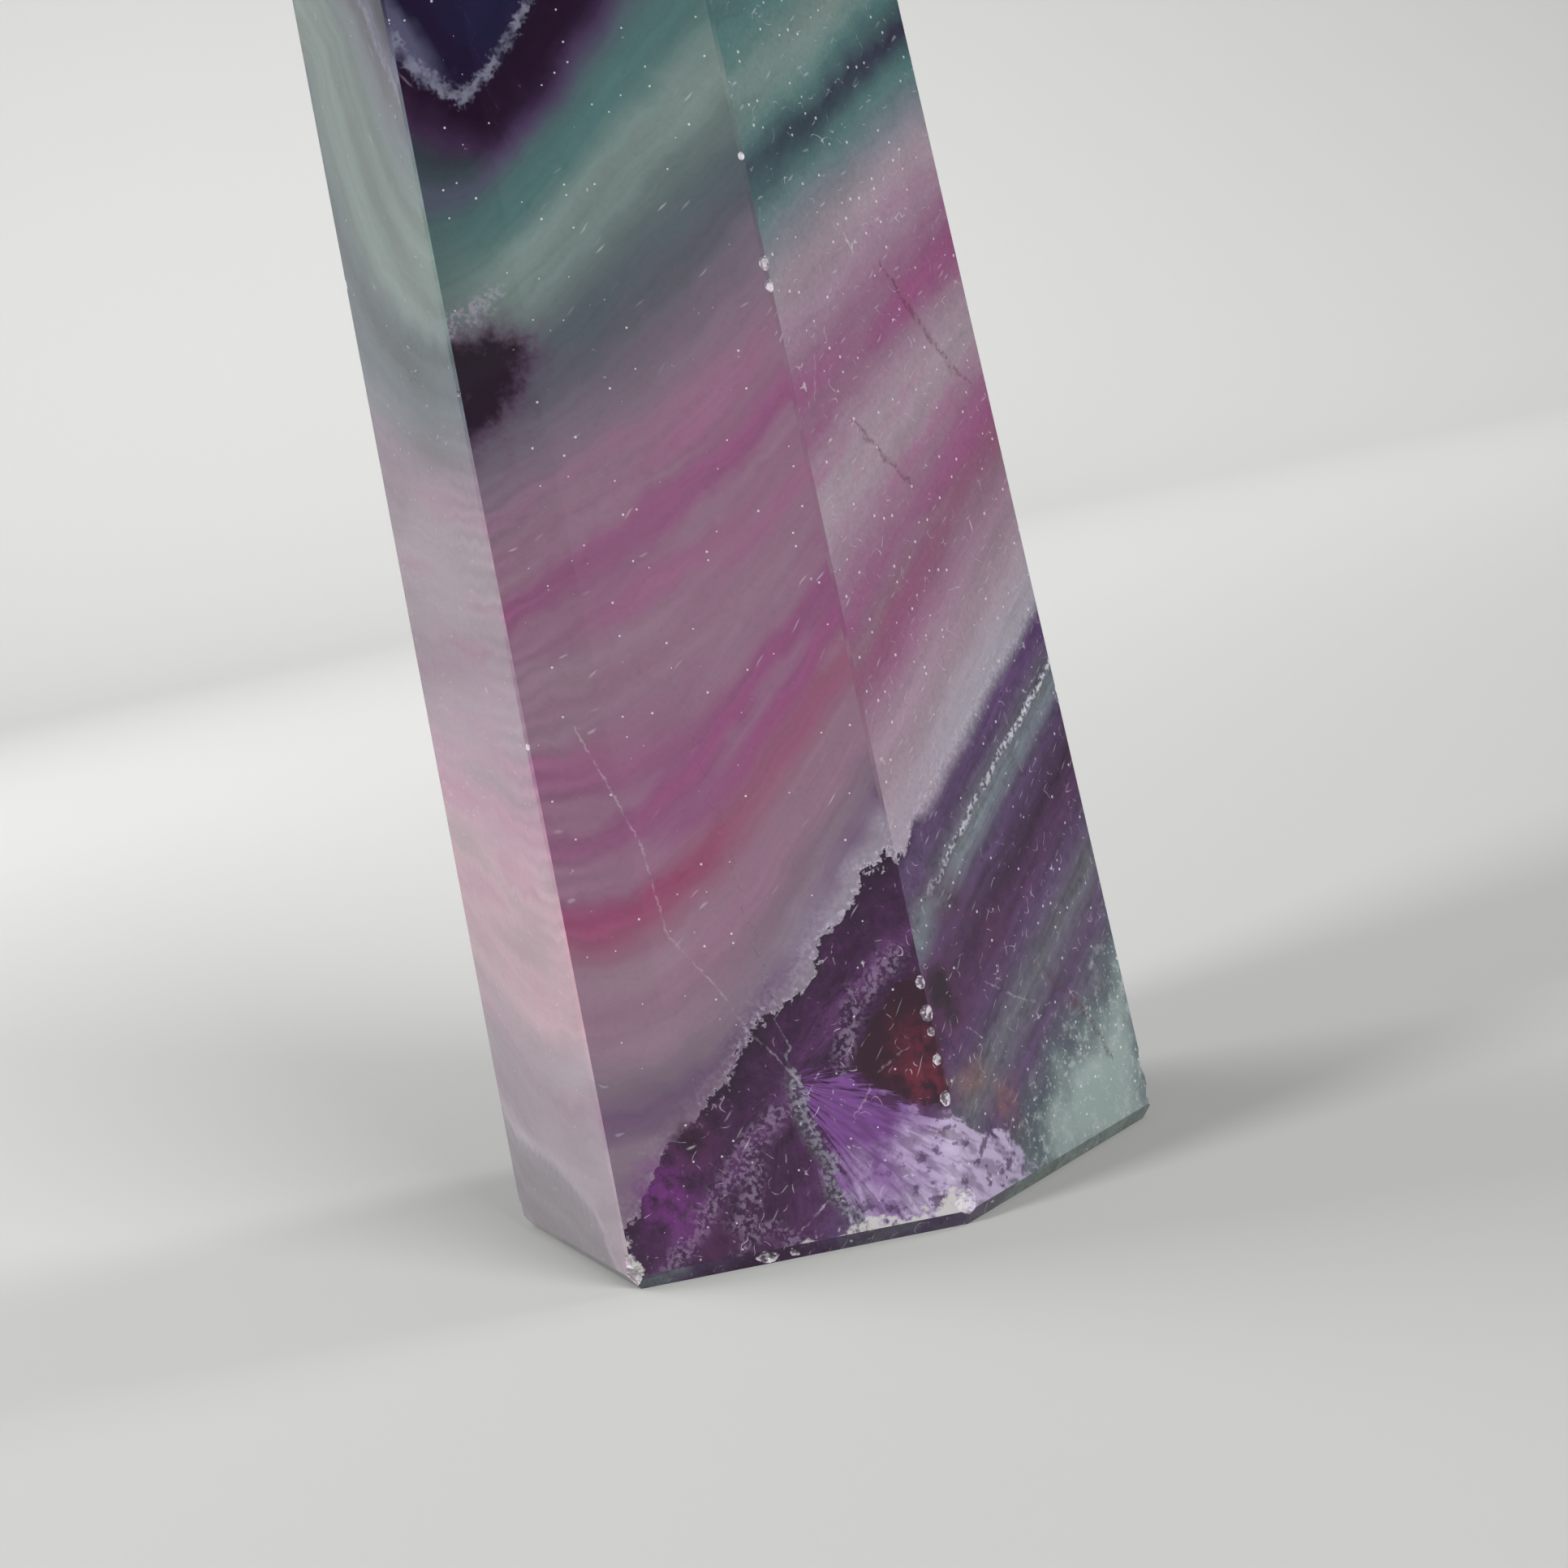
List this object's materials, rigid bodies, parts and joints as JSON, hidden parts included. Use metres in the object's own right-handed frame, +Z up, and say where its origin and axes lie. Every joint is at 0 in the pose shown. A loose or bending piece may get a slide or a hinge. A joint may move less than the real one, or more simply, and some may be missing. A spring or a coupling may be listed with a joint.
{
  "type": "fluorite tower",
  "caption": "Polished six-sided fluorite crystal tower with a pointed top and a flat base, for display on a shelf or desk.",
  "frame": {"origin": "middle of the flat base, where the tower's axis meets it", "axes": "+Z up along the tower to its point, -Y out of one of the six sides, +X to the right seen from that side"},
  "size_m": [0.0259, 0.0233, 0.09],
  "materials": {
    "fluorite": "polished translucent crystal, banded purple, pink, teal and grey, with small rough chips on the edges"
  },
  "bodies": {
    "root": {"fluorite_tower": "fluorite"}
  },
  "joints": []
}
